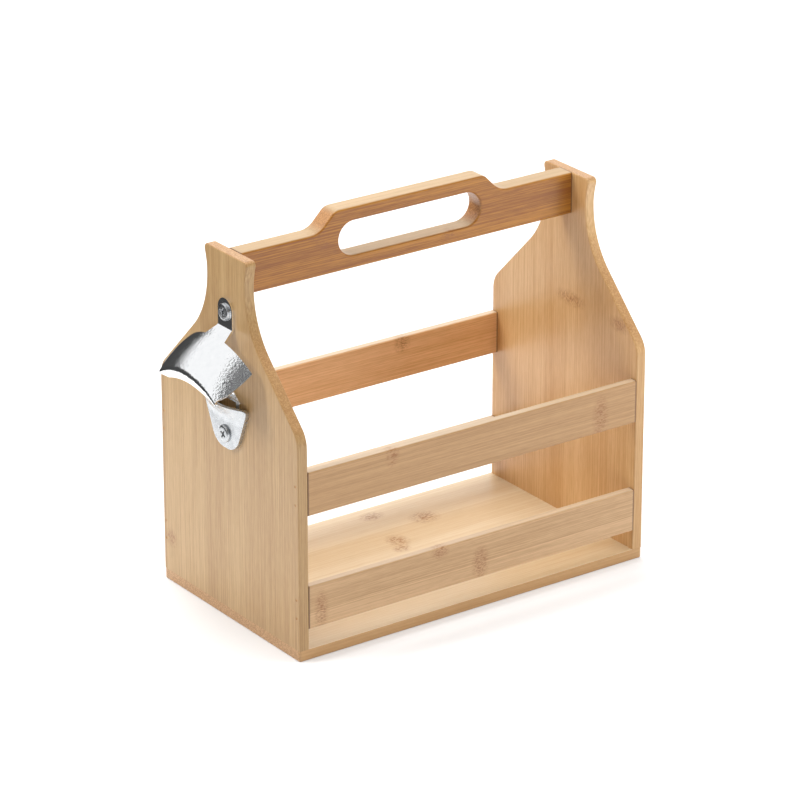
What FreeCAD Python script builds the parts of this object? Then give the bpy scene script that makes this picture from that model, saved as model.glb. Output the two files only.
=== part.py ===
import FreeCAD, Part
import math
import os

# A bamboo carrier for bottles: a base board, two end panels shaped like a bottle's shoulders,
# a handle bar between them, two slats on each long side and a stamped steel opener on the left panel.
# Millimetres. X runs along the handle, -Y is the front, Z is up, and Z = 0 is the surface it stands on.

# Overall sizes
caddy_length = 260.0
caddy_depth = 149.0
base_thickness = 7.0
panel_thickness = 7.0
edge_ease = 0.8
base_corner_radius = 1.6

# End panel outline: a straight side, a sloping shoulder, a neck and a flared top
side_height = 136.7
shoulder_drop = 54.2
neck_length = 40.6
neck_half_width = 20.3
flare_length = 12.0
neck_flare = 3.2
shoulder_radius = 16.0
neck_radius = 55.0
flare_radius = 38.0
top_corner_radius = 3.0

# Slats: two heights, the same at front and back
slat_height = 28.1
slat_thickness = 5.6
slat_ease = 1.0
lower_slat_gap = 13.0
shoulder_to_slat = 22.0

# Handle bar: its top is level with the panels, and the grip rises over a finger slot
handle_thickness = 13.0
handle_height = 27.0
grip_rise = 12.2
slot_length = 105.3
web_under_slot = 8.5
web_over_slot = 8.9
grip_overhang = 2.6
grip_ramp_run = 12.0
ramp_top_radius = 8.0
ramp_foot_radius = 14.0
handle_ease = 1.2

# Dowels between the handle bar and the panels
dowel_diameter = 6.0
dowel_spacing = 13.0
dowel_bite = 18.0
dowel_cover = 2.5

# Brads through the panels into the ends of the slats
brad_diameter = 1.6
brad_spacing = 12.0
brad_bite = 18.0
brad_set = 0.2

# Countersunk screws up through the base into the panels
base_screw_diameter = 3.0
base_screw_head = 5.6
base_screw_head_height = 1.6
base_screw_bite = 18.0
base_screw_spacing = 50.0
base_screw_count = 3
base_screw_set = 0.4
base_recess_span = 3.0
base_recess_width = 0.8
base_recess_depth = 1.0

# Opener, placed from its upper screw
opener_drop = 36.6
opener_offset = 1.3
opener_sheet = 1.6
opener_screw_spacing = 77.7
tab_width = 15.2
tab_crown_rise = 1.2
bend_drop = 9.8
hood_pitch = 28.5
neck_run = 8.5
neck_end_width = 20.4
neck_step = 0.05
hood_length = 29.1
hood_root_half_width = 35.2
hood_root_sag = 13.3
hood_root_drop = -0.2
hood_root_lean = 15.0
hood_middle_half_width = 34.8
hood_middle_sag = 13.4
hood_middle_drop = 0.4
hood_middle_lean = 16.7
hood_lip_half_width = 30.5
hood_lip_sag = 9.0
hood_lip_drop = 5.4
hood_lip_lean = 18.3
lip_depth = 6.7
lip_inset = 0.3
lip_full_half_width = 22.0
lip_end_half_width = 29.5
lip_corner_radius = 6.0
lip_corner_half_width = 32.4
strip_half_width = 5.5
strip_height = 10.0
leg_height = 31.0
leg_half_width = 13.8
leg_width = 3.5
leg_shoulder = 1.5
lance_height = 1.5
tongue_half_width = 22.2
tongue_rise = 21.5
tongue_cheek_drop = 5.0
tongue_cheek_half_width = 21.6
tongue_tip_drop = 9.6
tongue_tip_half_width = 10.5
tongue_tip_radius = 13.0
tongue_thickness = 2.8
tooth_rise = 8.0
tooth_fade = 12.0
opener_screw_diameter = 4.0
opener_screw_head = 11.0
opener_screw_head_height = 1.8
opener_screw_cover = 1.5
opener_recess_span = 6.4
opener_recess_width = 1.3
opener_recess_depth = 1.4

# Fits and cuts
fastener_gap = 0.1
hole_end_gap = 0.4
overrun = 1.0
tiny = 0.000001

# Shares: a screw's point is as long as this share of its diameter, the tooth keeps this share of its bow
# where it runs out, and the hood's middle is this far along it
point_share = 1.0
bow_end_share = 0.01
hood_middle_share = 0.5

# Heights and half sizes that follow from the sizes above
half_length = caddy_length / 2
half_depth = caddy_depth / 2
inner_half = half_length - panel_thickness
shoulder_z = base_thickness + side_height
neck_foot_z = shoulder_z + shoulder_drop
panel_top_z = neck_foot_z + neck_length
handle_bottom_z = panel_top_z - handle_height
grip_top_z = panel_top_z + grip_rise
slot_height = handle_height + grip_rise - web_under_slot - web_over_slot
slot_z = handle_bottom_z + web_under_slot + slot_height / 2
lower_slat_z = base_thickness + lower_slat_gap
upper_slat_z = shoulder_z - shoulder_to_slat - slat_height
slat_y = half_depth - slat_thickness / 2
upper_screw_z = panel_top_z - opener_drop
lower_screw_z = upper_screw_z - opener_screw_spacing

vector = FreeCAD.Vector
axis_x = vector(1, 0, 0)
axis_y = vector(0, 1, 0)
axis_z = vector(0, 0, 1)


def rounded_wire(corners, place):
    """Closed wire through corners (u, v, radius), each rounded by an arc; place maps (u, v) into space.
    An arc is drawn in where the two edges beside it are too short for its radius."""
    count = len(corners)
    points = [vector(u, v, 0) for u, v, radius in corners]
    forward = [points[(i + 1) % count] - points[i] for i in range(count)]
    turns = [forward[i - 1].getAngle(forward[i]) for i in range(count)]
    reach = [corners[i][2] * math.tan(turns[i] / 2) for i in range(count)]
    room = []
    for i in range(count):
        wanted = reach[i] + reach[(i + 1) % count]
        room.append(min(1.0, forward[i].Length / wanted) if wanted > 0 else 1.0)
    reach = [reach[i] * min(room[i - 1], room[i]) for i in range(count)]
    edges = []
    rounds = []
    for i in range(count):
        before = vector(forward[i - 1]).normalize()
        after = vector(forward[i]).normalize()
        enter = points[i] - before * reach[i]
        leave = points[i] + after * reach[i]
        rounds.append((enter, leave, before, after))
    for i in range(count):
        enter, leave, before, after = rounds[i]
        if reach[i] > tiny:
            radius = reach[i] / math.tan(turns[i] / 2)
            inward = (after - before).normalize()
            middle = points[i] + inward * (radius / math.cos(turns[i] / 2) - radius)
            edges.append(Part.Arc(place(enter.x, enter.y), place(middle.x, middle.y),
                                  place(leave.x, leave.y)).toShape())
        following = rounds[(i + 1) % count][0]
        if (following - leave).Length > tiny:
            edges.append(Part.makeLine(place(leave.x, leave.y), place(following.x, following.y)))
    return Part.Wire(Part.__sortEdges__(edges))


def slab(corners, place, depth):
    """Plate with a rounded outline, as thick as the vector depth."""
    return Part.Face(rounded_wire(corners, place)).extrude(depth)


def mirrored(corners):
    """Outline of a piece that is the same on both sides of u = 0, from its right half, bottom to top."""
    return corners + [(-u, v, radius) for u, v, radius in reversed(corners)]


def rod(diameter, start, along):
    """Round bar from a point, as long as the vector along."""
    return Part.makeCylinder(diameter / 2, along.Length, start, along)


def eased(shape, radius, wanted):
    """Shape with the edges that wanted() picks rounded off."""
    return shape.makeFillet(radius, [edge for edge in shape.Edges if wanted(edge)])


def spans(edge, axis):
    """How far an edge's box reaches along an axis: 0 for X, 1 for Y, 2 for Z."""
    box = edge.BoundBox
    return (box.XLength, box.YLength, box.ZLength)[axis]


def box_between(low, high):
    """Box from its lowest corner to its highest."""
    size = high - low
    return Part.makeBox(size.x, size.y, size.z, low)


def cross_recess(span, width, depth):
    """Cross-shaped driver recess, cut down from Z = 0."""
    arm = box_between(vector(-span / 2, -width / 2, -depth), vector(span / 2, width / 2, overrun))
    other = box_between(vector(-width / 2, -span / 2, -depth), vector(width / 2, span / 2, overrun))
    return arm.fuse(other)


def turned(profile):
    """Solid of revolution about Z from a half profile of (radius, height) points."""
    corners = [vector(radius, 0, height) for radius, height in profile]
    face = Part.Face(Part.makePolygon(corners + corners[:1]))
    return face.revolve(vector(0, 0, 0), axis_z, 360)


def aimed(shape, direction, position):
    """Shape whose +Z is turned to a direction and whose origin is put at a position."""
    moved = shape.copy()
    moved.Placement = FreeCAD.Placement(position, FreeCAD.Rotation(axis_z, direction))
    return moved


def panel_face(u, v):
    """Point on the outer face of the left panel's side of the caddy: u across, v up."""
    return vector(-half_length, u, v)


def dowel_places():
    """Centres of the dowels across the handle bar's end: (y, z)."""
    middle = handle_bottom_z + handle_height / 2
    return [(0, middle + side * dowel_spacing / 2) for side in (-1, 1)]


def brad_places(slat_z):
    """Heights of the two brads in each end of a slat."""
    middle = slat_z + slat_height / 2
    return [middle + side * brad_spacing / 2 for side in (-1, 1)]


def base_screw_places():
    """Positions of the base screws along each panel."""
    first = -base_screw_spacing * (base_screw_count - 1) / 2
    return [first + base_screw_spacing * i for i in range(base_screw_count)]


slats = {
    "front_upper_slat": (-slat_y, upper_slat_z),
    "front_lower_slat": (-slat_y, lower_slat_z),
    "back_upper_slat": (slat_y, upper_slat_z),
    "back_lower_slat": (slat_y, lower_slat_z),
}
ends = {"left": -1, "right": 1}
dowel_panel_bite = panel_thickness - dowel_cover
opener_y = -opener_offset


def base_board():
    """Board under the whole caddy, with countersunk holes near both ends."""
    board = box_between(vector(-half_length, -half_depth, 0), vector(half_length, half_depth, base_thickness))
    board = eased(board, base_corner_radius, lambda edge: spans(edge, 2) > tiny)
    board = eased(board, edge_ease, lambda edge: spans(edge, 2) < tiny and edge.BoundBox.ZMax < tiny)
    for side in ends.values():
        for y in base_screw_places():
            board = board.cut(base_screw_hole(side, y))
    return board


def base_screw_shape(gap):
    """Countersunk screw with its head face at Z = 0 and its point down; gap makes the hole for it."""
    head = base_screw_head / 2 + gap
    shank = base_screw_diameter / 2 + gap
    length = base_thickness - base_screw_set + base_screw_bite
    end = -length - gap
    point = end + base_screw_diameter * point_share
    return turned([(0, 0), (head, 0), (shank, -base_screw_head_height), (shank, point), (0, end)])


def base_screw_centre(side, y):
    """Middle of a base screw's head face."""
    return vector(side * (half_length - panel_thickness / 2), y, base_screw_set)


def base_screw_hole(side, y):
    """Room for one base screw: its own shape with clearance, and the mouth below its head."""
    centre = base_screw_centre(side, y)
    mouth = rod(base_screw_head + 2 * fastener_gap, centre, -axis_z * (base_screw_set + overrun))
    return aimed(base_screw_shape(fastener_gap), -axis_z, centre).fuse(mouth)


def base_screws(side):
    """The screws under one panel, as separate solids."""
    screw = base_screw_shape(0)
    screw = screw.cut(cross_recess(base_recess_span, base_recess_width, base_recess_depth))
    return Part.makeCompound([aimed(screw, -axis_z, base_screw_centre(side, y)) for y in base_screw_places()])


def end_panel(side):
    """Panel cut to the outline, with its edges eased and the holes for what is fixed to it."""
    half = [
        (half_depth, base_thickness, 0),
        (half_depth, shoulder_z, shoulder_radius),
        (neck_half_width, neck_foot_z, neck_radius),
        (neck_half_width, panel_top_z - flare_length, flare_radius),
        (neck_half_width + neck_flare, panel_top_z, top_corner_radius),
    ]
    panel = slab(mirrored(half), panel_face, axis_x * panel_thickness)
    panel = eased(panel, edge_ease,
                  lambda edge: spans(edge, 0) < tiny and edge.BoundBox.ZMax > base_thickness + tiny)
    if side > 0:
        panel = panel.mirror(vector(0, 0, 0), axis_x)
    inner = side * inner_half
    for y, z in dowel_places():
        depth = dowel_panel_bite + hole_end_gap
        panel = panel.cut(rod(dowel_diameter + 2 * fastener_gap, vector(inner - side * overrun, y, z),
                              axis_x * side * (depth + overrun)))
    for y, slat_z in slats.values():
        for z in brad_places(slat_z):
            panel = panel.cut(rod(brad_diameter + 2 * fastener_gap, vector(inner - side * overrun, y, z),
                                  axis_x * side * (panel_thickness + 2 * overrun)))
    for y in base_screw_places():
        panel = panel.cut(base_screw_hole(side, y))
    if side < 0:
        for z in (upper_screw_z, lower_screw_z):
            panel = panel.cut(opener_screw_room(z))
    return panel


def slat(y, z):
    """Slat between the panels, its four long edges eased, with brad holes in both ends."""
    board = box_between(vector(-inner_half, y - slat_thickness / 2, z),
                        vector(inner_half, y + slat_thickness / 2, z + slat_height))
    board = eased(board, slat_ease, lambda edge: spans(edge, 0) > slat_height)
    for side in ends.values():
        for brad_z in brad_places(z):
            depth = brad_bite + hole_end_gap
            board = board.cut(rod(brad_diameter + 2 * fastener_gap,
                                  vector(side * (inner_half + overrun), y, brad_z),
                                  -axis_x * side * (depth + overrun)))
    return board


def slat_brads(y, z):
    """The brads of one slat, two at each end, as separate solids."""
    length = panel_thickness - brad_set + brad_bite
    brads = []
    for side in ends.values():
        for brad_z in brad_places(z):
            head = vector(side * (half_length - brad_set), y, brad_z)
            brads.append(rod(brad_diameter, head, -axis_x * side * length))
    return Part.makeCompound(brads)


def handle_face(u, v):
    """Point on the front face of the handle bar."""
    return vector(u, -handle_thickness / 2, v)


def handle_bar():
    """Bar with a raised grip and a finger slot, its edges eased, with dowel holes in both ends."""
    grip_half = slot_length / 2 + grip_overhang
    half = [
        (inner_half, handle_bottom_z, 0),
        (inner_half, panel_top_z, 0),
        (grip_half + grip_ramp_run, panel_top_z, ramp_foot_radius),
        (grip_half, grip_top_z, ramp_top_radius),
    ]
    bar = slab(mirrored(half), handle_face, axis_y * handle_thickness)
    slot_half = slot_length / 2
    slot = [
        (slot_half, slot_z - slot_height / 2, slot_height / 2),
        (slot_half, slot_z + slot_height / 2, slot_height / 2),
    ]
    opening = slab(mirrored(slot), handle_face, axis_y * (handle_thickness + 2 * overrun))
    opening.translate(-axis_y * overrun)
    bar = bar.cut(opening)
    bar = eased(bar, handle_ease, lambda edge: spans(edge, 1) < tiny and spans(edge, 0) > tiny)
    for side in ends.values():
        for y, z in dowel_places():
            depth = dowel_bite + hole_end_gap
            bar = bar.cut(rod(dowel_diameter + 2 * fastener_gap, vector(side * (inner_half + overrun), y, z),
                              -axis_x * side * (depth + overrun)))
    return bar


def handle_dowels(side):
    """The dowels of one end of the handle bar, as separate solids."""
    length = dowel_panel_bite + dowel_bite
    return Part.makeCompound([
        rod(dowel_diameter, vector(side * (inner_half + dowel_panel_bite), y, z), -axis_x * side * length)
        for y, z in dowel_places()
    ])


def on_wall(a, b, z):
    """Point of the opener: a towards the front, b out from the panel, z up."""
    return vector(-half_length - b, opener_y - a, z)


def opener_screw_shape(seat, gap):
    """Pan-head screw with its head's top at Z = 0, over sheet that is seat thick; gap makes its hole."""
    head = opener_screw_head / 2
    shank = opener_screw_diameter / 2 + gap
    seat_z = -opener_screw_head_height
    end = seat_z - seat - panel_thickness + opener_screw_cover - gap
    point = end + opener_screw_diameter * point_share
    dome = head - opener_screw_head_height / 2
    shoulder = -opener_screw_head_height / 2
    head_profile = [(0, 0), (dome, 0), (head, shoulder), (head, seat_z)]
    return turned(head_profile + [(shank, seat_z), (shank, point), (0, end)])


def opener_screw_seat(z):
    """Thickness of sheet under a screw's head: the tab's at the top, the tongue's at the bottom."""
    return opener_sheet if z == upper_screw_z else tongue_thickness


def opener_screw_top(z):
    """Middle of the top of a screw's head."""
    return on_wall(0, opener_screw_seat(z) + opener_screw_head_height, z)


def opener_screw_room(z):
    """Clearance hole for one opener screw, through the sheet and into the panel."""
    return aimed(opener_screw_shape(opener_screw_seat(z), fastener_gap), -axis_x, opener_screw_top(z))


def opener_screw(z):
    """One opener screw with its cross recess."""
    screw = opener_screw_shape(opener_screw_seat(z), 0)
    screw = screw.cut(cross_recess(opener_recess_span, opener_recess_width, opener_recess_depth))
    return aimed(screw, -axis_x, opener_screw_top(z))


pitch = math.radians(hood_pitch)
bend_z = upper_screw_z - bend_drop
tab_face = opener_sheet
lip_reach = hood_lip_half_width + lip_corner_radius + overrun


def hood_point(across, along, over):
    """Point of the hood: across towards the front, along its pitched axis from the bend, over that axis."""
    b = tab_face + along * math.cos(pitch) + over * math.sin(pitch)
    z = bend_z - along * math.sin(pitch) + over * math.cos(pitch)
    return on_wall(across, b, z)


def hood_arc(half_width, sag, along, drop, lean):
    """Arc across the hood, back to front: its crown a drop below the axis, its feet leaning out below."""
    foot_along = along + sag * math.tan(math.radians(lean))
    foot = -drop - sag
    return Part.Arc(hood_point(-half_width, foot_along, foot), hood_point(0, along, -drop),
                    hood_point(half_width, foot_along, foot)).toShape()


def joined(first, second):
    """Closed wire of two runs of edges with a straight edge across each pair of ends."""
    across = [Part.makeLine(first[i].Vertexes[i].Point, second[i].Vertexes[i].Point) for i in (0, -1)]
    return Part.Wire(Part.__sortEdges__(first + second + across))


def hood_section(half_width, sag, along, drop, lean, sheet):
    """Section of the hood's sheet: an arc, and another one sheet thick inside it."""
    swing = 2 * math.atan2(sag, half_width)
    inner_half_width = half_width - sheet * math.sin(swing)
    inner_sag = sag - sheet * (1 - math.cos(swing))
    inner_along = along + sheet * math.tan(math.radians(lean))
    outside = hood_arc(half_width, sag, along, drop, lean)
    inside = hood_arc(inner_half_width, inner_sag, inner_along, drop + sheet, lean)
    return joined([outside], [inside])


def neck_section():
    """Section of the neck where it meets the hood, a small step inside the hood's own sheet."""
    half = neck_end_width / 2
    radius = (hood_root_half_width ** 2 + hood_root_sag ** 2) / (2 * hood_root_sag)
    sag = radius - math.sqrt(radius ** 2 - half ** 2)
    along = neck_run + neck_step * math.tan(math.radians(hood_root_lean))
    sheet = opener_sheet - 2 * neck_step
    return hood_section(half, sag, along, hood_root_drop + neck_step, hood_root_lean, sheet)


def flat_wire(half_width):
    """Section of the neck's flat sheet at the bend."""
    corners = [(-half_width, 0), (half_width, 0), (half_width, -opener_sheet), (-half_width, -opener_sheet)]
    points = [hood_point(u, 0, v) for u, v in corners]
    return Part.makePolygon(points + points[:1])


def opener_hood():
    """Upper stamping: a tab on the panel, a neck bent out from it, the arched hood and its lip."""
    half_tab = tab_width / 2
    round_z = upper_screw_z + tab_crown_rise
    tab = slab(mirrored([(half_tab, bend_z, 0), (half_tab, round_z + half_tab, half_tab)]),
               lambda u, v: on_wall(u, 0, v), -axis_x * opener_sheet)
    corner = rod(2 * opener_sheet, on_wall(-half_tab, 0, bend_z), -axis_y * tab_width)
    keep = box_between(on_wall(half_tab, tab_face, bend_z - opener_sheet),
                       on_wall(-half_tab, 0, bend_z))
    corner = corner.common(keep)
    neck = Part.makeLoft([flat_wire(half_tab), neck_section()], True, True)
    vault = Part.makeLoft([
        hood_section(hood_root_half_width, hood_root_sag, neck_run, hood_root_drop, hood_root_lean,
                     opener_sheet),
        hood_section(hood_middle_half_width, hood_middle_sag, neck_run + hood_length * hood_middle_share,
                     hood_middle_drop, hood_middle_lean, opener_sheet),
        hood_section(hood_lip_half_width, hood_lip_sag, neck_run + hood_length, hood_lip_drop, hood_lip_lean,
                     opener_sheet),
    ], True, False)
    hood = vault.fuse(hood_lip())
    for side in (-1, 1):
        hood = hood.cut(lip_corner(side)).cut(lip_end(side))
    hood = tab.fuse([corner, neck, hood]).removeSplitter()
    return hood.cut(opener_screw_room(upper_screw_z))


def hood_lip():
    """Lip of the hood: an arc just inside its end, carried down by the lip's depth, one sheet thick."""
    along = neck_run + hood_length + (opener_sheet - lip_inset) * math.tan(math.radians(hood_lip_lean))
    half_width = hood_lip_half_width - lip_inset
    arc = hood_arc(half_width, hood_lip_sag, along, hood_lip_drop + lip_inset, hood_lip_lean)
    down = hood_point(0, 0, -lip_depth) - hood_point(0, 0, 0)
    inward = hood_point(0, -opener_sheet, 0) - hood_point(0, 0, 0)
    return arc.extrude(down).extrude(inward)


def lip_corner(side):
    """Waste outside the round of one corner of the lip, cut square to the hood's axis."""
    end = neck_run + hood_length + hood_lip_sag * math.tan(math.radians(hood_lip_lean))
    inner = lip_corner_half_width - lip_corner_radius
    start = end - lip_corner_radius
    bottom = -hood_lip_drop - hood_lip_sag - lip_depth - overrun
    height = hood_point(0, 0, overrun) - hood_point(0, 0, bottom)
    outline = [
        (inner, start, 0),
        (lip_reach, start, 0),
        (lip_reach, end + overrun, 0),
        (inner, end + overrun, 0),
    ]
    waste = slab(outline, lambda u, v: hood_point(side * u, v, bottom), height)
    return waste.cut(rod(2 * lip_corner_radius, hood_point(side * inner, start, bottom), height))


def lip_over(across):
    """How far over the axis the lip's arc lies, at a distance across the hood."""
    radius = (hood_lip_half_width ** 2 + hood_lip_sag ** 2) / (2 * hood_lip_sag)
    return -hood_lip_drop - radius + math.sqrt(radius ** 2 - across ** 2)


def lip_end(side):
    """Waste under one end of the lip, where its depth runs out."""
    start = neck_run + hood_length - opener_sheet
    end = neck_run + hood_length + hood_lip_sag
    full = lip_over(lip_full_half_width) - lip_depth - 2 * lip_inset
    out = lip_over(lip_end_half_width) - opener_sheet - lip_inset
    fall = lip_over(lip_reach) - opener_sheet - lip_inset
    bottom = fall - lip_depth
    outline = [
        (lip_full_half_width, full, 0),
        (lip_end_half_width, out, 0),
        (lip_reach, fall, 0),
        (lip_reach, bottom, 0),
        (lip_full_half_width, bottom, 0),
    ]
    depth = hood_point(0, end, 0) - hood_point(0, start, 0)
    return slab(outline, lambda u, v: hood_point(side * u, start, v), depth)


def tooth_wire(half_width, rise, z):
    """Section of the tongue at one height: a band of sheet bowed outward by rise."""
    def at(u, bow):
        return on_wall(u, bow, z)

    inside, outside = [Part.Arc(at(-half_width, face), at(0, rise + face), at(half_width, face)).toShape()
                       for face in (0, tongue_thickness)]
    return joined([inside], [outside])


def tongue_half_at(z):
    """Half width of the tongue at a height below its cheeks, on the straight run towards its tip."""
    cheek_z = lower_screw_z + tongue_rise - tongue_cheek_drop
    tip_z = lower_screw_z - tongue_tip_drop
    run_share = (cheek_z - z) / (cheek_z - tip_z)
    return tongue_cheek_half_width + (tongue_tip_half_width - tongue_cheek_half_width) * run_share


def opener_back_plate():
    """Lower stamping: a strip up behind the hood, legs round an opening, the bowed tooth and the tongue."""
    top_z = lower_screw_z + tongue_rise
    fade_z = top_z - tooth_fade
    flare_z = lower_screw_z + leg_height
    lance_z = top_z + lance_height

    def flat(u, v):
        return on_wall(u, 0, v)

    strip = [
        (strip_half_width, lance_z, 0),
        (strip_half_width, flare_z + strip_height, strip_half_width / 2),
    ]
    plate = slab(mirrored(strip), flat, -axis_x * opener_sheet)
    for side in (-1, 1):
        leg = [
            (0, lance_z, 0),
            (side * (leg_half_width - leg_width), lance_z, 0),
            (side * (leg_half_width - leg_width), fade_z, 0),
            (side * leg_half_width, fade_z, 0),
            (side * leg_half_width, lance_z + leg_shoulder, 0),
            (side * strip_half_width, flare_z, 0),
            (0, flare_z, 0),
        ]
        plate = plate.fuse(slab(leg, flat, -axis_x * opener_sheet))
    tongue = slab(mirrored([
        (tongue_tip_half_width, lower_screw_z - tongue_tip_drop, tongue_tip_radius),
        (tongue_half_at(fade_z), fade_z, 0),
    ]), flat, -axis_x * tongue_thickness)
    tooth = Part.makeLoft([
        tooth_wire(tongue_half_width, tooth_rise, top_z),
        tooth_wire(tongue_half_at(fade_z), tooth_rise * bow_end_share, fade_z),
    ], True, True)
    plate = plate.fuse([tongue, tooth]).removeSplitter()
    return plate.cut(opener_screw_room(lower_screw_z))


os.makedirs("parts", exist_ok=True)
pieces = {
    "base_board": base_board(),
    "handle_bar": handle_bar(),
    "opener_hood": opener_hood(),
    "opener_back_plate": opener_back_plate(),
    "opener_upper_screw": opener_screw(upper_screw_z),
    "opener_lower_screw": opener_screw(lower_screw_z),
}
for name, side in ends.items():
    pieces[name + "_end_panel"] = end_panel(side)
    pieces[name + "_handle_dowels"] = handle_dowels(side)
    pieces[name + "_base_screws"] = base_screws(side)
for name, (y, z) in slats.items():
    pieces[name] = slat(y, z)
    pieces[name + "_brads"] = slat_brads(y, z)
for name, shape in pieces.items():
    shape.exportStep("parts/" + name + ".step")
    print(name, len(shape.Solids), shape.isValid(), round(shape.Volume))
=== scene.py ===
import math

import bpy
import numpy as np
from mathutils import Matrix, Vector


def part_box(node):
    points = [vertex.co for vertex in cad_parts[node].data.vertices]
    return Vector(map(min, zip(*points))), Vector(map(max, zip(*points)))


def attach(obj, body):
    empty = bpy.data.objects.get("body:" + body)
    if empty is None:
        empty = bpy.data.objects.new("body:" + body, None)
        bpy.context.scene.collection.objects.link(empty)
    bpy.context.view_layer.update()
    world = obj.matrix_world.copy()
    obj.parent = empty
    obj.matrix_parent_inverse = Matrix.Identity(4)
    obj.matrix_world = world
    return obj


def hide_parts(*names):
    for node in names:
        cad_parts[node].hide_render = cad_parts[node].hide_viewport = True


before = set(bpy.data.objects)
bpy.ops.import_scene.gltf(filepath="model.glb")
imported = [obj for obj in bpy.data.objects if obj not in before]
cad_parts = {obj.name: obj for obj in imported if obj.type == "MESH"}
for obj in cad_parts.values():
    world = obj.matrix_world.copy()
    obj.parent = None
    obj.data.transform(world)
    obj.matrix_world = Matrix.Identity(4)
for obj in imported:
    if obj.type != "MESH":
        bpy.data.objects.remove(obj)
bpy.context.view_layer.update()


# Base board. One flat board of bamboo strips glued edge to edge, planed, sanded and given a thin satin
# lacquer. The end panels stand on its two ends and are screwed from below; its grain runs along the caddy.

mm = 0.001


def linear(code):
    """Linear colour of an sRGB hex code: each channel is decoded by the sRGB curve."""
    levels = np.array([int(code[i:i + 2], 16) for i in (1, 3, 5)]) / 255
    decoded = np.where(levels <= 0.04045, levels / 12.92, ((levels + 0.055) / 1.055) ** 2.4)
    return (*decoded.tolist(), 1.0)


def add(tree, kind, inputs, output=None, **settings):
    """One output of a new node: the named one, or else its first. Inputs are linked where they are given a
    socket, and set where they are given a value. A Mix counts its share as 0 and its two colours as 6 and 7.
    A MapRange counts its value as 0, its old range as 1 and 2, and its new range as 3 and 4."""
    node = tree.nodes.new("ShaderNode" + kind)
    for name, value in settings.items():
        setattr(node, name, value)
    for key, value in inputs.items():
        if isinstance(value, bpy.types.NodeSocket):
            tree.links.new(value, node.inputs[key])
        else:
            node.inputs[key].default_value = value
    if output is not None:
        return node.outputs[output]
    return next(socket for socket in node.outputs if socket.enabled)


def new_material(name):
    """An empty node material, its tree and the shader that its surface comes from."""
    material = bpy.data.materials.new(name)
    material.use_nodes = True
    return material, material.node_tree, material.node_tree.nodes["Principled BSDF"]


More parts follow.
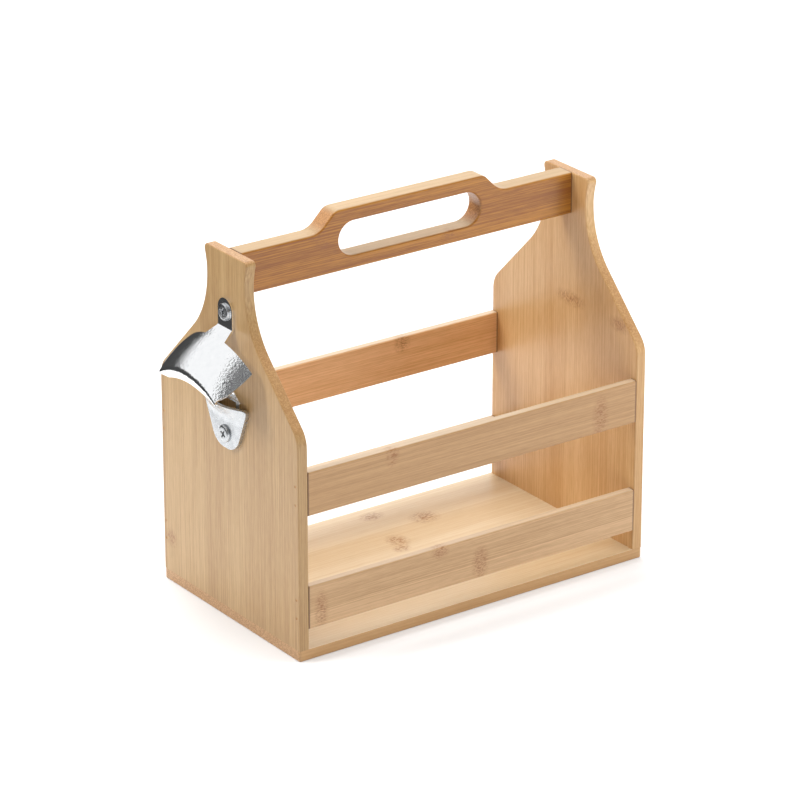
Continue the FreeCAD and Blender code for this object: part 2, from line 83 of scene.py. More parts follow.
def bamboo(name, grain, across, strip, faces, sheen_tops, ends, seed, streak, marks=(), end_shade=None):
    """Laminated bamboo under satin lacquer, in three pairs of a pale and a brown shade: for its faces, for
    the faces that look up, and for its ends. The pair for the faces that look up is paler: a painted sheen,
    for the light from above that they catch. Strips lie side by side across the board, each a shade of its
    own. Fibres are streaks drawn out along the grain about 1.6 mm apart: real fibres are finer, and are drawn
    as coarse as they need to show. Ends across the grain show the dots of the fibres. A mark is a knuckle of
    the culm, a band of brown flecks across a strip, given by its centre and half sizes in millimetres. An end
    shade is painted
    shade: it darkens the ends of the board, for the shadow in the gap where the board meets a panel."""
    material, tree, shader = new_material(name)
    along = "XYZ".index(grain)
    joint_width = 0.5 * mm
    place = add(tree, "TexCoord", {}, "Object")
    normal = add(tree, "NewGeometry", {}, "Normal")

    grown = {}
    for key, width, length in (("fibre", 0.8, 120), ("pore", 0.7, 9), ("drift", 9, 150), ("speck", 0.9, 0.9),
                               ("fleck", 0.8, 2.2)):
        scale = [1 / (width * mm)] * 3
        scale[along] = 1 / (length * mm)
        shift = [3.7 * seed + 11 * len(grown)] * 3
        moved = add(tree, "Mapping", {"Vector": place, "Location": shift, "Scale": scale})
        grown[key] = add(tree, "TexNoise", {"Vector": moved, "Scale": 1.0, "Detail": 2.0, "Roughness": 0.6})

    lane = add(tree, "SeparateXYZ", {0: place}, across)
    lane = add(tree, "Math", {0: lane, 1: 1 / strip, 2: 0.37 * seed}, operation="MULTIPLY_ADD")
    number = add(tree, "Math", {0: lane}, operation="FLOOR")
    shade = add(tree, "TexWhiteNoise", {"W": number}, noise_dimensions="1D")
    tone = add(tree, "Math", {0: shade, 1: 0.35, 2: 0.325}, operation="MULTIPLY_ADD")
    for key, weight in (("fibre", 1.3 * streak), ("drift", 0.45 * streak), ("pore", 0.6 * streak)):
        swing = add(tree, "Math", {0: grown[key], 1: 0.5}, operation="SUBTRACT")
        tone = add(tree, "Math", {0: swing, 1: weight, 2: tone}, operation="MULTIPLY_ADD")
    offset = add(tree, "Math", {0: lane, 1: number}, operation="SUBTRACT")
    joint = add(tree, "MapRange", {0: offset, 1: 0.0, 2: joint_width / strip, 3: 0.35, 4: 0.0})
    tone = add(tree, "Math", {0: tone, 1: joint}, operation="SUBTRACT")
    tone = add(tree, "Clamp", {0: tone})

    face = add(tree, "Mix", {0: tone, 6: linear(faces[1]), 7: linear(faces[0])}, data_type="RGBA")
    sheen_top = add(tree, "Mix", {0: tone, 6: linear(sheen_tops[1]), 7: linear(sheen_tops[0])}, data_type="RGBA")
    dots = add(tree, "MapRange", {0: grown["speck"], 1: 0.42, 2: 0.62, 3: 0.0, 4: 1.0})
    end = add(tree, "Mix", {0: dots, 6: linear(ends[1]), 7: linear(ends[0])}, data_type="RGBA")
    # Painted sheen: faces that look up take the paler pair, for the light from above that they catch.
    sheen_share = add(tree, "SeparateXYZ", {0: normal}, "Z")
    sheen_share = add(tree, "MapRange", {0: sheen_share, 1: 0.6, 2: 0.95, 3: 0.0, 4: 1.0})
    colour = add(tree, "Mix", {0: sheen_share, 6: face, 7: sheen_top}, data_type="RGBA")
    endward = add(tree, "SeparateXYZ", {0: normal}, grain)
    endward = add(tree, "Math", {0: endward}, operation="ABSOLUTE")
    endward = add(tree, "MapRange", {0: endward, 1: 0.3, 2: 0.9, 3: 0.0, 4: 0.9})
    colour = add(tree, "Mix", {0: endward, 6: colour, 7: end}, data_type="RGBA")

    flecks = add(tree, "MapRange", {0: grown["fleck"], 1: 0.46, 2: 0.60, 3: 0.12, 4: 0.8})
    for centre, half in marks:
        scale = [1 / (size * mm) for size in half]
        shift = [-at * mm * factor for at, factor in zip(centre, scale)]
        moved = add(tree, "Mapping", {"Vector": place, "Location": shift, "Scale": scale})
        reach = add(tree, "VectorMath", {0: moved}, "Value", operation="LENGTH")
        patch = add(tree, "MapRange", {0: reach, 1: 0.5, 2: 1.5, 3: 1.0, 4: 0.0})
        dark = add(tree, "Math", {0: patch, 1: flecks}, operation="MULTIPLY")
        colour = add(tree, "Mix", {0: dark, 6: colour, 7: linear("#92571F")}, data_type="RGBA")
    # Painted shade: the last millimetre at each end darkens to dark brown, for the shadow in the gap where
    # the board meets a panel.
    if end_shade is not None:
        reach = add(tree, "SeparateXYZ", {0: place}, grain)
        reach = add(tree, "Math", {0: reach}, operation="ABSOLUTE")
        edge = add(tree, "MapRange", {0: reach, 1: end_shade - 1.0 * mm, 2: end_shade - 0.4 * mm, 3: 0.0, 4: 0.85})
        colour = add(tree, "Mix", {0: edge, 6: colour, 7: linear("#6E4A2C")}, data_type="RGBA")

    tree.links.new(colour, shader.inputs["Base Color"])
    shader.inputs["Roughness"].default_value = 0.42
    shader.inputs["IOR"].default_value = 1.5
    shader.inputs["Coat Weight"].default_value = 0.5
    shader.inputs["Coat Roughness"].default_value = 0.30
    relief = add(tree, "Bump", {"Height": grown["fibre"], "Strength": 0.15, "Distance": 0.05 * mm})
    tree.links.new(relief, shader.inputs["Normal"])
    return material


def dress(node, material):
    """Gives a CAD node one material all over."""
    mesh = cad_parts[node].data
    mesh.materials.clear()
    mesh.materials.append(material)


base_marks = [((18.7, 62.3, 7), (7, 5, 4)), ((10.8, 22.5, 7), (6, 7, 4)), ((45.7, 42, 7), (8, 7, 4)),
              ((5.8, 11.2, 7), (5, 4, 4))]
dress("base_board", bamboo("bamboo_base", "X", "Y", 24 * mm, ("#D9AE78", "#B88850"), ("#E3D2B4", "#CBAE82"),
                           ("#CFA473", "#A97A4A"), seed=1, streak=0.9, marks=base_marks))


# End panels. Two boards of upright bamboo strips, sawn to a bottle's shoulders and neck, their edges eased.
# They stand on the base board, glued and screwed from below, and carry the handle and the slats.

panel_marks = {
    "left": [((-130, 66, 30), (6, 5, 5))],
    "right": [((123, -7, 155), (6, 12, 4)), ((123, -57, 153), (6, 8, 4))],
}
# Both panels are one bamboo. Their face pairs differ as painted light and shade: the left one's is darker, to
# offset the lamp that lights its outer face, and the right one's is paler.
panel_faces_by_light = {"left": ("#C7A471", "#A8804E"), "right": ("#DDB682", "#C19158")}
for side, seed in (("left", 2), ("right", 3)):
    dress(side + "_end_panel", bamboo("bamboo_panel_" + side, "Z", "Y", 22 * mm, panel_faces_by_light[side],
                                      ("#DCBB96", "#BC8F61"), ("#C09768", "#9D6E3E"), seed,
                                      streak=1.7, marks=panel_marks[side]))


# Dowels and base screws. Dowels of the same bamboo join the handle bar to the panels, and countersunk screws
# of zinc-plated steel come up through the base board. In the finished caddy only the screws' heads show.

for side in ("left", "right"):
    dress(side + "_handle_dowels", bpy.data.materials["bamboo_panel_" + side])

# Zinc-plated steel: a bright grey metal, a little cloudy in spots. The recess of a head is drawn darker:
# painted shade in the hollow of the cross.
zinc, tree, shader = new_material("zinc_plated_steel")
place = add(tree, "TexCoord", {}, "Object")
bloom = add(tree, "TexNoise", {"Vector": place, "Scale": 1 / (1.5 * mm), "Detail": 2.0, "Roughness": 0.6})
plating = add(tree, "Mix", {0: bloom, 6: linear("#B4B8BC"), 7: linear("#DADCDE")}, data_type="RGBA")
recess_shade = add(tree, "Attribute", {}, attribute_name="recess_shade")
plating = add(tree, "Mix", {0: recess_shade, 6: plating, 7: linear("#303338")}, data_type="RGBA")
gloss = add(tree, "MapRange", {0: bloom, 1: 0.3, 2: 0.7, 3: 0.24, 4: 0.34})
tree.links.new(plating, shader.inputs["Base Color"])
tree.links.new(gloss, shader.inputs["Roughness"])
shader.inputs["Metallic"].default_value = 1.0
for side in ("left", "right"):
    dress(side + "_base_screws", zinc)


# Handle bar. A bar of bamboo strips on edge, browner than the panels, with a raised grip over a finger slot.
# It sits between the panels on two dowels at each end, and its edges are rounded for the hand.

bay_half = -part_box("left_end_panel")[1].x
handle_marks = [((-67.4, -6.5, 236.6), (6, 6, 3)), ((-64.5, -6.5, 230.2), (5, 6, 2.5)),
                ((28.2, -6.5, 217.3), (5, 6, 2)), ((30.5, -6.5, 221.3), (5, 6, 1.5))]
dress("handle_bar", bamboo("bamboo_handle", "X", "Z", 6 * mm, ("#BB7D23", "#905205"), ("#BE9E74", "#A88A62"),
                           ("#C89460", "#A06C3E"), seed=4, streak=2.2, marks=handle_marks, end_shade=bay_half))


# Slats. Four thin strips of bamboo, two on each long side, that keep the bottles in. Each lies between the
# panels with its outer face flush with their edges, glued and held by two brads at each end.

slat_marks = {
    "front_upper": [((-62, -74.5, 117.7), (4, 8, 6)), ((95.2, -74.5, 103.9), (5, 8, 11))],
    "front_lower": [((-114, -74.5, 30.7), (4, 8, 10)), ((-26.4, -74.5, 45.4), (5, 8, 4)),
                    ((3.9, -74.5, 30), (5, 8, 9))],
    "back_upper": [((47.3, 68.9, 117.4), (5, 8, 5))],
    "back_lower": [((-40, 68.9, 30), (5, 8, 8))],
}
# All four slats are one bamboo. Their face pairs differ as painted light: the back slats and the lower front
# slat are paler, to offset the shade they stand in inside the caddy.
slat_faces_by_light = {"front_upper": ("#C39867", "#A67B49"), "front_lower": ("#D7AF82", "#B58D5E"),
              "back_upper": ("#F4C491", "#D29E67"), "back_lower": ("#F4C491", "#D29E67")}
for seed, (row, marks) in enumerate(slat_marks.items(), 5):
    dress(row + "_slat", bamboo("bamboo_slat_" + row, "X", "Z", 17 * mm, slat_faces_by_light[row],
                                ("#D0B697", "#B9A285"), ("#CB9E6C", "#A67848"), seed, streak=1.6, marks=marks,
                                end_shade=bay_half))

# Wood filler: a paste of wood dust pressed in over each brad and sanded flush, so it is matt and grainy.
filler, tree, shader = new_material("wood_filler")
place = add(tree, "TexCoord", {}, "Object")
grit = add(tree, "TexNoise", {"Vector": place, "Scale": 1 / (0.6 * mm), "Detail": 2.0, "Roughness": 0.6})
paste = add(tree, "Mix", {0: grit, 6: linear("#AF8150"), 7: linear("#CFA272")}, data_type="RGBA")
tree.links.new(paste, shader.inputs["Base Color"])
shader.inputs["Roughness"].default_value = 0.55
for row in slat_marks:
    dress(row + "_slat_brads", filler)


# Opener back plate. A stamping of plated steel held to the panel by the lower screw: a strip up behind the
# hood, two legs round an opening, and a shield-shaped tongue whose top edge is bowed out as the tooth.

sheet = 1.6 * mm
wall_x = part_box("left_end_panel")[0].x
upper_low, upper_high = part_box("opener_upper_screw")
lower_low, lower_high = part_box("opener_lower_screw")
opener_y = (upper_low.y + upper_high.y) / 2
upper_screw_z = (upper_low.z + upper_high.z) / 2
lower_screw_z = (lower_low.z + lower_high.z) / 2


def on_wall(a, b, z):
    """Points of the opener: a towards the front, b out from the panel, z up."""
    return np.stack(np.broadcast_arrays(wall_x - b, opener_y - a, z), -1)


def quads(index):
    """Outward faces of a grid of vertex numbers whose rows go down and whose columns go to the front."""
    corners = (index[:-1, :-1], index[1:, :-1], index[1:, 1:], index[:-1, 1:])
    return np.stack(corners, -1).reshape(-1, 4)


def ease(share):
    """Smooth step from nought to one."""
    share = np.clip(share, 0, 1)
    return share * share * (3 - 2 * share)


def rounded_outline(corners, step):
    """Points about one step apart round an outline of corners (across, up, radius), anticlockwise: at each
    corner an arc tangent to the two edges beside it, and straight runs between the arcs."""
    corners = np.array(corners)
    after = np.roll(corners[:, :2], -1, 0) - corners[:, :2]
    after /= np.linalg.norm(after, axis=1, keepdims=True)
    line = []
    for (u, v, radius), ahead, behind in zip(corners, after, np.roll(after, 1, 0)):
        turn = math.acos(behind @ ahead)
        sweep = np.linspace(0, turn, 12)[:, None]
        inward = np.array([-behind[1], behind[0]])
        centre = (u, v) - behind * radius * math.tan(turn / 2) + inward * radius
        line.append(centre + radius * (behind * np.sin(sweep) - inward * np.cos(sweep)))
    line = np.concatenate(line + [line[0][:1]])
    length = np.append(0, np.cumsum(np.linalg.norm(np.diff(line, axis=0), axis=1)))
    at = np.linspace(0, length[-1], int(length[-1] / step))
    return np.interp(at, length, line[:, 0]), np.interp(at, length, line[:, 1])


def pressed(name, points, faces, material, node, thickness=0, edge=0):
    """Stamped piece in place of a CAD node, from its skin. An open skin is the outer one: the sheet's
    thickness goes in from it, and the edges are eased. A closed skin needs no thickness."""
    mesh = bpy.data.meshes.new(name)
    mesh.from_pydata(points.tolist(), [], faces.tolist())
    mesh.polygons.foreach_set("use_smooth", np.ones(len(faces), bool))
    mesh.materials.append(material)
    piece = bpy.data.objects.new(name, mesh)
    bpy.context.scene.collection.objects.link(piece)
    if thickness:
        wall = piece.modifiers.new("sheet", "SOLIDIFY")
        wall.thickness = thickness
        wall.offset = -1
        wall.use_even_offset = True
        round_edge = piece.modifiers.new("eased_edge", "BEVEL")
        round_edge.width = edge
        round_edge.segments = 3
        round_edge.limit_method = "ANGLE"
        round_edge.angle_limit = math.radians(50)
        round_edge.harden_normals = True
    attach(piece, "root")
    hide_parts(node)
    return piece


def plated_steel(name, bright, dull, roughness, peel_depth):
    """Bright plated steel sheet. Pressing leaves an orange peel about 2.6 mm across where it stretches the
    sheet, away from the panel, which breaks up what the plating mirrors. The plating is a little duller in
    patches a few millimetres wide."""
    material, tree, shader = new_material(name)
    place = add(tree, "TexCoord", {}, "Object")
    peel = add(tree, "TexNoise", {"Vector": place, "Scale": 1 / (1.3 * mm), "Detail": 2.0, "Roughness": 0.5})
    patch = add(tree, "TexNoise", {"Vector": place, "Scale": 1 / (4 * mm), "Detail": 2.0, "Roughness": 0.5})
    plating = add(tree, "Mix", {0: patch, 6: linear(dull), 7: linear(bright)}, data_type="RGBA")
    gloss = add(tree, "MapRange", {0: patch, 1: 0.3, 2: 0.7, 3: roughness * 1.25, 4: roughness * 0.8})
    outward = add(tree, "SeparateXYZ", {0: place})
    stretch = add(tree, "MapRange", {0: outward, 1: wall_x - sheet, 2: wall_x - 6 * mm, 3: 0.1, 4: 1.0})
    relief = add(tree, "Bump", {"Height": peel, "Strength": stretch, "Distance": peel_depth})
    tree.links.new(plating, shader.inputs["Base Color"])
    tree.links.new(gloss, shader.inputs["Roughness"])
    tree.links.new(relief, shader.inputs["Normal"])
    shader.inputs["Metallic"].default_value = 1.0
    return material


hood_steel = plated_steel("plated_steel_hood", "#FCFDFE", "#F0F2F4", 0.05, 0.22 * mm)
# The tongue is the same plating as the hood, drawn a darker grey: painted shade that dims the bright floor it
# mirrors.
shaded_tongue_steel = plated_steel("plated_steel_tongue_shaded", "#CBCED1", "#C2C5C8", 0.26, 0.01 * mm)

# The tongue is one closed skin on rays from the lower screw. Its rings go out over the face, round the edge,
# down the side, in over the back and up through the screw's hole.
tongue_thickness = 2.8 * mm
tongue_top_z = lower_screw_z + 21.5 * mm
tooth_foot_z = tongue_top_z - 12 * mm
tooth_rise = 8 * mm
tongue_edge = 0.7 * mm
hole_radius = 2.1 * mm
tongue_levels = np.array([lower_screw_z - 9.6 * mm, tongue_top_z - 5 * mm, tongue_top_z])
tongue_halves = np.array([10.5, 21.6, 22.2]) * mm
tongue_rounds = np.array([13, 8, 2]) * mm
tongue_side = list(zip(tongue_halves, tongue_levels, tongue_rounds))
other_side = [(-u, z, radius) for u, z, radius in tongue_side[::-1]]
outline_u, outline_z = rounded_outline(tongue_side + other_side, 0.8 * mm)
reach = np.hypot(outline_u, outline_z - lower_screw_z)
ray_u, ray_z = outline_u / reach, (outline_z - lower_screw_z) / reach
across_face = np.linspace(0, 1, 16)[:, None]
edge_turn = np.linspace(0, np.pi / 2, 6)[1:, None]
face_reach = hole_radius + (reach - tongue_edge - hole_radius) * across_face
edge_reach = reach - tongue_edge * (1 - np.sin(edge_turn))
edge_depth = tongue_edge * (1 - np.cos(edge_turn)) + 0 * reach
foot_reach = reach[None, :]
foot_depth = tongue_thickness - 0.1 * mm + 0 * foot_reach
back_reach = hole_radius + (reach - hole_radius) * across_face[::-1]
back_depth = tongue_thickness + 0 * back_reach
tongue_reach = np.concatenate([face_reach, edge_reach, foot_reach, back_reach, face_reach[:1]])
tongue_depth = np.concatenate([0 * face_reach, edge_depth, foot_depth, back_depth, 0 * face_reach[:1]])
tongue_u, tongue_z = tongue_reach * ray_u, lower_screw_z + tongue_reach * ray_z
tongue_half = np.interp(tongue_z, tongue_levels, tongue_halves)
bow = np.clip((tongue_z - tooth_foot_z) / (tongue_top_z - tooth_foot_z), 0, 1) ** 1.5
bow = tooth_rise * bow * np.maximum(1 - (tongue_u / tongue_half) ** 2, 0)
tongue_points = on_wall(tongue_u, tongue_thickness + bow - tongue_depth, tongue_z)[:-1, :-1].reshape(-1, 3)
tongue_index = np.arange(len(tongue_points)).reshape(-1, len(reach) - 1)
tongue_index = np.pad(tongue_index, ((0, 1), (0, 1)), "wrap")
pressed("opener_tongue", tongue_points, quads(tongue_index), shaded_tongue_steel, "opener_back_plate")

# The strip and the legs are one open skin, two columns of which run on down beside the opening.
lance_z = tongue_top_z + 1.5 * mm
flare_z = lower_screw_z + 31 * mm
strip_half = 5.5 * mm
strip_top_z = flare_z + 10 * mm
leg_half = 13.8 * mm
leg_inner = leg_half - 3.5 * mm
leg_shoulder = 1.5 * mm


def plate_half_at(z):
    """Half width of the flat plate: straight legs beside the opening, tapering to the strip above it."""
    return np.interp(z, [lance_z + leg_shoulder, flare_z], [leg_half, strip_half])


strip_z = np.linspace(strip_top_z, flare_z, 6)
plate_z = np.concatenate([strip_z[:-1], np.linspace(flare_z, lance_z, 8)])[:, None]
inner_share = leg_inner / leg_half
plate_share = np.concatenate([[-1], np.linspace(-inner_share, inner_share, 9), [1]])[None, :]
plate_points = on_wall(plate_half_at(plate_z) * plate_share, sheet, plate_z).reshape(-1, 3)
plate_index = np.arange(len(plate_points)).reshape(len(plate_z), -1)
plate_faces = [quads(plate_index)]
leg_z = np.linspace(lance_z, tooth_foot_z, 10)[1:, None]
for side, edge_columns in ((-1, [0, 1]), (1, [-2, -1])):
    across = np.sort([side * leg_half, side * leg_inner])
    leg_points = on_wall(across, sheet, leg_z).reshape(-1, 3)
    leg_index = np.arange(len(leg_points)).reshape(-1, 2) + len(plate_points)
    plate_faces.append(quads(np.concatenate([plate_index[-1:, edge_columns], leg_index])))
    plate_points = np.concatenate([plate_points, leg_points])
pressed("opener_strip", plate_points, np.concatenate(plate_faces), hood_steel, "opener_back_plate", sheet,
        edge=0.3 * mm)


# Opener hood. The upper stamping, of the same plated sheet: a round-topped tab held by the upper screw, a
# neck bent out from it, and an arched hood with a turned-down lip, which rests on the cap as it is lifted.

hood_pitch = math.radians(28.5)
tab_face = sheet
tab_half = 7.6 * mm
round_z = upper_screw_z + 1.2 * mm
bend_z = upper_screw_z - 9.8 * mm
bend_radius = 1.8 * mm
neck_run, neck_half = 8.5 * mm, 10.2 * mm
hood_length = 29.1 * mm
lip_radius, lip_depth, lip_least = 4.8 * mm, 7.0 * mm, 0.2 * mm
lip_full_half, lip_end_half, lip_end_share = 20 * mm, 28.5 * mm, 0.25
lip_corner, back_corner, front_corner = 6.0 * mm, 2.6 * mm, 0.6 * mm

# Sections at the hood's root, half way along it and at its lip: half width, sag and fall of the crown, all in
# millimetres, and how far the feet lean out for each millimetre that they drop.
hood_halves = (35.2, 34.8, 30.5)
hood_sags = (13.3, 13.4, 9.0)
hood_falls = (-0.2, 0.4, 5.4)
hood_leans = (0.268, 0.300, 0.331)


def hood_point(across, along, over):
    """Points of the hood: across towards the front, along its pitched axis from the bend, over that axis."""
    out = tab_face + along * math.cos(hood_pitch) + over * math.sin(hood_pitch)
    return on_wall(across, out, bend_z - along * math.sin(hood_pitch) + over * math.cos(hood_pitch))


def between(share, root, middle, lip):
    """Parabola through a size at the hood's root, half way along it, and at its lip."""
    return (root * (1 - share) * (1 - 2 * share) + middle * 4 * share * (1 - share)
            + lip * share * (2 * share - 1))


def hood_surface(share, side):
    """Across, along and over for points a share of the way along the hood and a share of the way from its
    crown to a foot: each section is an arc of a given half width and sag, its feet leaning out, its lip
    corners rounded."""
    half = between(share, *hood_halves) * mm
    sag = between(share, *hood_sags) * mm
    crown = between(share, *hood_falls) * mm
    lean = between(share, *hood_leans)
    swing = 2 * np.arctan2(sag, half)
    radius = half / np.sin(swing)
    foot_left = (1 - share) * hood_length - lip_radius
    into_corner = np.clip(1 - foot_left / lip_corner, 0, 1)
    corner_cut = np.where(side < 0, back_corner, front_corner) * (1 - np.sqrt(1 - into_corner ** 2))
    narrowed = 1 - corner_cut / half
    across = radius * np.sin(swing * side * narrowed)
    drop = radius * (1 - np.cos(swing * side * narrowed))
    return across, neck_run + hood_length * share + lean * drop, -crown - drop


bend_turn = math.pi / 2 - hood_pitch
foot = bend_radius * math.tan(bend_turn / 2)
turn = np.linspace(math.radians(9), math.pi / 2, 10)
bend = np.linspace(0, bend_turn, 8)
middle_share = np.linspace(-1, 1, 13)
tab_z = np.concatenate([round_z + tab_half * np.cos(turn), [round_z - 5 * mm]])
tab_halves = np.concatenate([tab_half * np.sin(turn), np.full(1 + len(bend), tab_half)])
tab_out = np.concatenate([np.full(len(tab_z), tab_face), tab_face + bend_radius * (1 - np.cos(bend))])
tab_z = np.concatenate([tab_z, bend_z + foot - bend_radius * np.sin(bend)])
tab_points = on_wall(tab_halves[:, None] * middle_share, tab_out[:, None], tab_z[:, None])

root_swing = 2 * math.atan2(hood_sags[0], hood_halves[0])
root_radius = hood_halves[0] * mm / math.sin(root_swing)
neck_side = math.asin(neck_half / root_radius) / root_swing
side_share = np.linspace(neck_side, 1, 19)
hood_side = np.concatenate([-side_share[:0:-1], neck_side * middle_share, side_share[1:]])[None, :]
neck_columns = slice(len(side_share) - 1, len(side_share) - 1 + len(middle_share))
lip_share = 1 - 0.2 * np.linspace(1, 0, 12) ** 1.5
hood_share = np.concatenate([np.linspace(0, 0.8, 18)[:-1], lip_share])[:, None]
probe = 0.001
before, last = hood_surface(1 - probe, hood_side), hood_surface(1.0, hood_side)
slope = np.arctan2(before[2] - last[2], last[1] - before[1])
taper = np.interp(np.abs(last[0]), [lip_full_half, lip_end_half], [1, lip_end_share])
roll = lip_radius * (0.4 + 0.6 * taper)
lip_room = roll * (1 - np.sin(slope)) / hood_length
across, along, over = hood_surface(hood_share * (1 - lip_room), hood_side)
lip_turn = slope + (math.pi / 2 - slope) * np.linspace(0, 1, 8)[1:, None]
lip_along = along[-1:] + roll * (np.sin(lip_turn) - np.sin(slope))
lip_over = over[-1:] - roll * (np.cos(slope) - np.cos(lip_turn))
lip_fall = np.maximum(lip_over[-1:] - last[2] + lip_depth * taper, lip_least)
lip_fall = np.linspace(0, 1, 6)[1:, None] * lip_fall
along = np.concatenate([along, lip_along, lip_along[-1:] + 0 * lip_fall])
over = np.concatenate([over, lip_over, lip_over[-1:] - lip_fall])
across = np.concatenate([across, np.repeat(across[-1:], len(lip_turn) + len(lip_fall), 0)])
vault_points = hood_point(across, along, over)
root_middle = vault_points[:1, neck_columns]
neck_share = np.linspace(0, 1, 7)[1:-1, None, None]
neck_points = tab_points[-1:] * (1 - neck_share) + root_middle * neck_share
neck_points = np.concatenate([tab_points, neck_points]).reshape(-1, 3)
neck_index = np.arange(len(neck_points)).reshape(-1, len(middle_share))
vault_index = np.arange(along.size).reshape(along.shape) + len(neck_points)
neck_index = np.concatenate([neck_index, vault_index[:1, neck_columns]])
hood_points = np.concatenate([neck_points, vault_points.reshape(-1, 3)])
hood_faces = np.concatenate([quads(neck_index), quads(vault_index)])
pressed("opener_hood_skin", hood_points, hood_faces, hood_steel, "opener_hood", sheet, edge=0.35 * mm)


# Opener screws. Two pan-head screws of zinc-plated steel with a cross recess, through the stampings into the
# panel. Each head is a dome over a disc, pressed down along the two arms of the cross.

head_radius = 5.5 * mm
head_height = 1.8 * mm
head_edge = 0.5 * mm
shank_radius, shank_length = 2.0 * mm, 4.3 * mm
tip_radius, tip_length = 0.2 * mm, 7.5 * mm
head_steps = 65
recess_half, recess_arm, recess_depth, recess_wall = 2.8 * mm, 0.5 * mm, 1.3 * mm, 0.3 * mm


def pan_head_screw(name, node, centre_z, seat, turned):
    """Head on a square grid drawn round: a point moves along its ray until its square becomes a circle. The
    skirt, shank and point are rings turned on the same directions."""
    side = np.linspace(-1, 1, head_steps)
    p, q = np.meshgrid(side, side)
    reach = np.maximum(np.abs(p), np.abs(q)) / np.maximum(np.hypot(p, q), 1e-9)
    u, v = head_radius * p * reach, head_radius * q * reach
    outward = np.clip(np.hypot(u, v) / head_radius, 0, 1)
    dome = head_edge + (head_height - head_edge) * np.sqrt(1 - outward ** 8)
    turn_u = u * math.cos(turned) + v * math.sin(turned)
    turn_v = v * math.cos(turned) - u * math.sin(turned)
    arms = []
    for one, other in ((turn_u, turn_v), (turn_v, turn_u)):
        along_arm = ease((recess_half - np.abs(one)) / recess_wall)
        arms.append(along_arm * ease((recess_arm - np.abs(other)) / recess_wall + 0.5))
    height = dome - recess_depth * np.maximum(*arms)
    head = on_wall(u, seat + height, centre_z + v).reshape(-1, 3)
    index = np.arange(len(head)).reshape(head_steps, head_steps)
    border = np.concatenate([index[0, :-1], index[:-1, -1], index[-1, :0:-1], index[:0:-1, 0]])
    ring_u, ring_v = u.ravel()[border] / head_radius, v.ravel()[border] / head_radius
    radii = np.array([head_radius, shank_radius, shank_radius, tip_radius])[:, None]
    depths = np.array([0, 0, -shank_length, -tip_length])[:, None]
    rings = on_wall(radii * ring_u, seat + depths + 0 * ring_u, centre_z + radii * ring_v).reshape(-1, 3)
    ring_index = np.append(border, np.arange(len(rings)) + len(head)).reshape(-1, len(border))
    ring_index = np.concatenate([ring_index, ring_index[:, :1]], 1)
    faces = np.concatenate([quads(index[::-1]), quads(ring_index)])
    piece = pressed(name, np.concatenate([head, rings]), faces, zinc, node)
    # Painted shade: each point of the head stores how far it lies in the cross, which the zinc material
    # darkens.
    recess_shade_layer = piece.data.attributes.new("recess_shade", "FLOAT", "POINT")
    recess_shade_layer.data.foreach_set("value", np.append(np.maximum(*arms), np.zeros(len(rings))))


pan_head_screw("opener_upper_screw_head", "opener_upper_screw", upper_screw_z, tab_face, -0.35)
pan_head_screw("opener_lower_screw_head", "opener_lower_screw", lower_screw_z, tongue_thickness, -0.5)


# Stage. A sweep of white paper to stand on, soft lamps all round, and dark cards that only reflections see.
# The camera stands where the photograph was taken.

scene = bpy.context.scene
scene.view_settings.view_transform = "Standard"


def seen_directly(tree):
    """One for rays from the camera, mirror reflections and glass, and nought for those that light things."""
    path = tree.nodes.new("ShaderNodeLightPath").outputs
    seen = add(tree, "Math", {0: path["Is Camera Ray"], 1: path["Is Glossy Ray"]}, operation="MAXIMUM")
    return add(tree, "Math", {0: seen, 1: path["Is Transmission Ray"]}, operation="MAXIMUM")


room_light = 0.34
world = bpy.data.worlds.new("studio")
world.use_nodes = True
scene.world = world
tree = world.node_tree
background = tree.nodes["Background"]
background.inputs["Color"].default_value = (1, 1, 1, 1)
strength = add(tree, "MapRange", {0: seen_directly(tree), 3: room_light, 4: 1.0})
tree.links.new(strength, background.inputs["Strength"])

floor_half = 12.0
floor_glow = 0.14
floor_mesh = bpy.data.meshes.new("floor")
corners = floor_half * np.array([(-1, -1, 0), (1, -1, 0), (1, 1, 0), (-1, 1, 0)])
floor_mesh.from_pydata(corners.tolist(), [], [(0, 1, 2, 3)])
floor = bpy.data.objects.new("floor", floor_mesh)
scene.collection.objects.link(floor)
# White paper: matt, with a glow away from the caddy that makes the far floor pure white where it is seen.
paper, tree, shader = new_material("white_paper")
shader.inputs["Base Color"].default_value = (0.78, 0.78, 0.78, 1)
shader.inputs["Roughness"].default_value = 0.9
shader.inputs["Specular IOR Level"].default_value = 0.0
shader.inputs["Emission Color"].default_value = (1, 1, 1, 1)
place = add(tree, "TexCoord", {}, "Object")
away = add(tree, "VectorMath", {0: place}, "Value", operation="LENGTH")
sweep = add(tree, "MapRange", {0: away, 1: 0.8, 2: 3.0, 3: floor_glow, 4: 1.0})
glow = add(tree, "Math", {0: seen_directly(tree), 1: sweep}, operation="MULTIPLY")
tree.links.new(glow, shader.inputs["Emission Strength"])
floor_mesh.materials.append(paper)


def softbox(name, centre, size, radiance):
    """Area lamp that faces the caddy and is not itself seen. Power is pi times radiance times area."""
    lamp = bpy.data.lights.new(name, "AREA")
    lamp.shape = "RECTANGLE"
    lamp.size, lamp.size_y = size
    lamp.energy = math.pi * radiance * size[0] * size[1]
    holder = bpy.data.objects.new(name, lamp)
    holder.location = centre
    holder.rotation_euler = (Vector((0, 0, 0.1)) - Vector(centre)).to_track_quat("-Z", "Y").to_euler()
    holder.visible_camera = False
    holder.visible_glossy = False
    scene.collection.objects.link(holder)


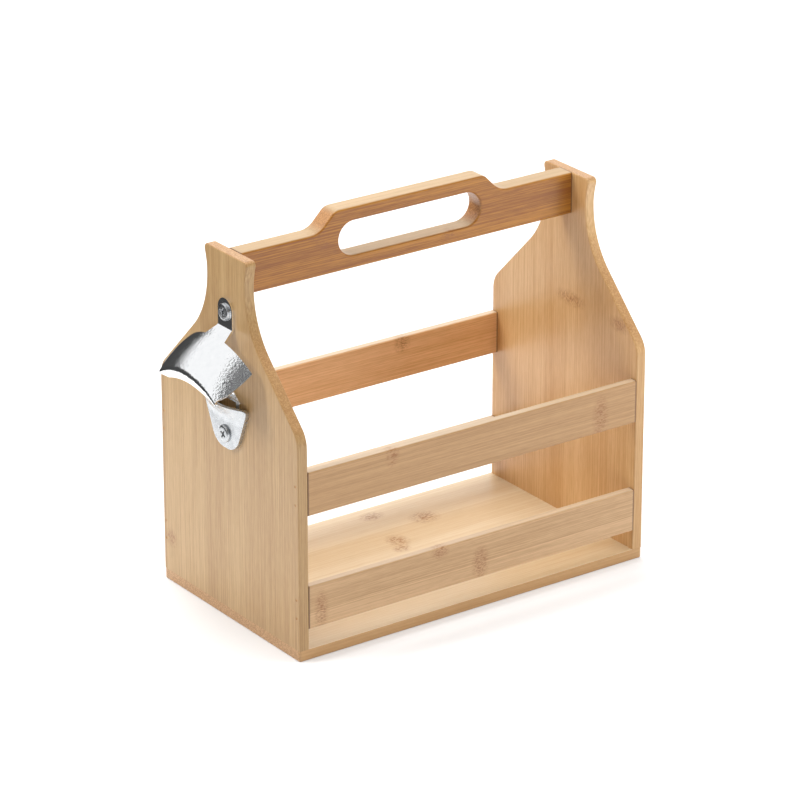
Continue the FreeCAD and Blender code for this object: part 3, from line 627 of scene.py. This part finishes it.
softbox("overhead_lamp", (0, 0, 4.0), (2.4, 2.4), 6.0)
softbox("back_lamp", (0.1, 1.5, 1.5), (2.0, 1.2), 3.4)
softbox("rim_lamp", (1.18, 1.65, 1.0), (1.2, 0.9), 2.4)
softbox("front_lamp", (0.8, -0.65, 0.5), (0.5, 0.5), 6.0)
softbox("left_lamp", (-1.45, 0.6, 1.4), (0.6, 0.6), 15.5)


def flag(name, inner, outer, level):
    """Card between two lines of points that only reflections see, as a studio hangs round bright metal."""
    mesh = bpy.data.meshes.new(name)
    verts = np.concatenate([inner, outer])
    step = np.arange(len(inner) - 1)
    faces = np.stack([step, step + 1, step + 1 + len(inner), step + len(inner)], 1)
    mesh.from_pydata(verts.tolist(), [], faces.tolist())
    card = bpy.data.objects.new(name, mesh)
    scene.collection.objects.link(card)
    material, tree, shader = new_material(name)
    shader.inputs["Base Color"].default_value = (0, 0, 0, 1)
    shader.inputs["Specular IOR Level"].default_value = 0.0
    shader.inputs["Emission Color"].default_value = (1, 1, 1, 1)
    shader.inputs["Emission Strength"].default_value = level
    mesh.materials.append(material)
    for kind in ("camera", "diffuse", "transmission", "volume_scatter", "shadow"):
        setattr(card, "visible_" + kind, False)


def heading(degrees, radius, height):
    """Points at compass headings from the back, clockwise seen from above, at a radius and a height."""
    angle = np.radians(degrees)
    return np.stack(np.broadcast_arrays(radius * np.sin(angle), radius * np.cos(angle), height), -1)


near_radius, wall_radius, dome_radius = 0.47, 3.0, 3.5
card_lift = 0.001
floor_arc = np.linspace(-105, 45, 61)
near_line, far_line = [heading(floor_arc, radius, card_lift) for radius in (near_radius, wall_radius)]
flag("dark_floor", near_line, far_line, 0.06)
wall_arc = np.linspace(-105, 24, 81)
wall_top = np.interp(wall_arc, [-105, -70, -40, -25, -10, 4, 18, 24], [12, 16, 17, 19, 26, 27, 22, 12])
wall_height = wall_radius * np.tan(np.radians(wall_top))
flag("dark_wall", heading(wall_arc, wall_radius, 0), heading(wall_arc, wall_radius, wall_height), 0.07)
climb = np.radians(np.linspace(8, 88, 21))
card_pitch, card_width = 10, 8.5
for number, start in enumerate(range(105, 255, card_pitch)):
    left, right = [heading(-turned + 0 * climb, dome_radius * np.cos(climb), dome_radius * np.sin(climb))
                   for turned in (start + card_width, start)]
    flag("front_card_%d" % number, left, right, 0.08)

camera = bpy.data.objects.new("camera", bpy.data.cameras.new("camera"))
camera.data.lens = 189.51
camera.location = (-1.39451, -1.94989, 1.10937)
camera.rotation_euler = (math.radians(90 - 22.5636), 0, math.radians(-35.5053))
scene.collection.objects.link(camera)
scene.camera = camera
